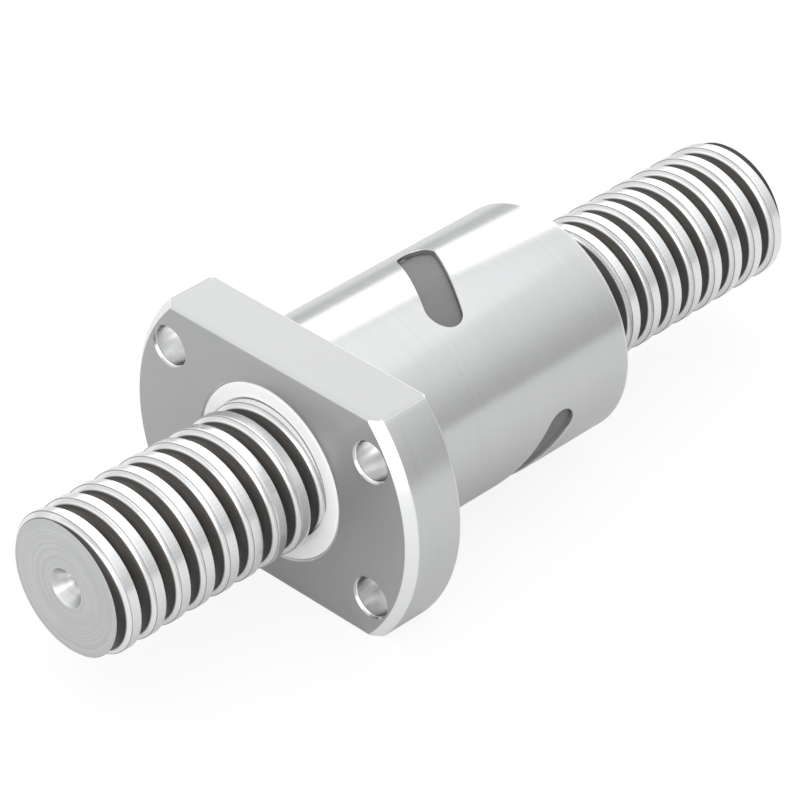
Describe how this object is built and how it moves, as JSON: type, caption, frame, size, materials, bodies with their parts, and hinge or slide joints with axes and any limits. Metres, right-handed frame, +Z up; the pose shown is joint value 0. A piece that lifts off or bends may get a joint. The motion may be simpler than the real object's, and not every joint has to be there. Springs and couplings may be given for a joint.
{
  "type": "ball screw",
  "caption": "Rolled screw shaft with a flanged ball nut that has two flats; turning the shaft moves it through the nut on recirculating balls.",
  "frame": {"origin": "on the screw axis, in the plane of the flange's rear face, where the nut seats against its housing", "axes": "+X along the screw, from the flange towards the long nut body; +Z up, square to the flange's two flats"},
  "size_m": [0.15, 0.062, 0.0406],
  "materials": {
    "nut_steel": "fine ground bearing steel",
    "screw_steel": "rolled and polished, with darker groove flanks",
    "ball_steel": "polished bearing balls",
    "deflector_steel": "dark matt sintered steel",
    "wiper_plastic": "white moulded plastic",
    "ring_wire": "drawn spring wire",
    "stop_screw_steel": "blackened steel"
  },
  "bodies": {
    "nut": {"nut_flange": "nut_steel", "nut_body": "nut_steel", "deflector_1": "deflector_steel", "deflector_2": "deflector_steel", "deflector_3": "deflector_steel", "circuit_1_load_balls": "ball_steel", "circuit_2_load_balls": "ball_steel", "circuit_3_load_balls": "ball_steel", "circuit_1_return_balls": "ball_steel", "circuit_2_return_balls": "ball_steel", "circuit_3_return_balls": "ball_steel", "front_wiper": "wiper_plastic", "rear_wiper": "wiper_plastic", "front_stop_screw": "stop_screw_steel", "rear_stop_screw": "stop_screw_steel"},
    "lock_rings": {"front_lock_ring": "ring_wire", "rear_lock_ring": "ring_wire"},
    "screw": {"screw_shaft": "screw_steel"}
  },
  "joints": [
    {"name": "screw_spin", "type": "hinge", "parent": "nut", "child": "lock_rings", "pos_m": [0, 0, 0], "axis": [1, 0, 0], "range_deg": [-2880, 2880]},
    {"name": "screw_travel", "type": "slide", "parent": "lock_rings", "child": "screw", "axis": [1, 0, 0], "range_m": [-0.04, 0.04]}
  ],
  "couplings": [
    {"joint": "screw_travel", "follows": "screw_spin", "m_per_rad": 0.00079577}
  ]
}
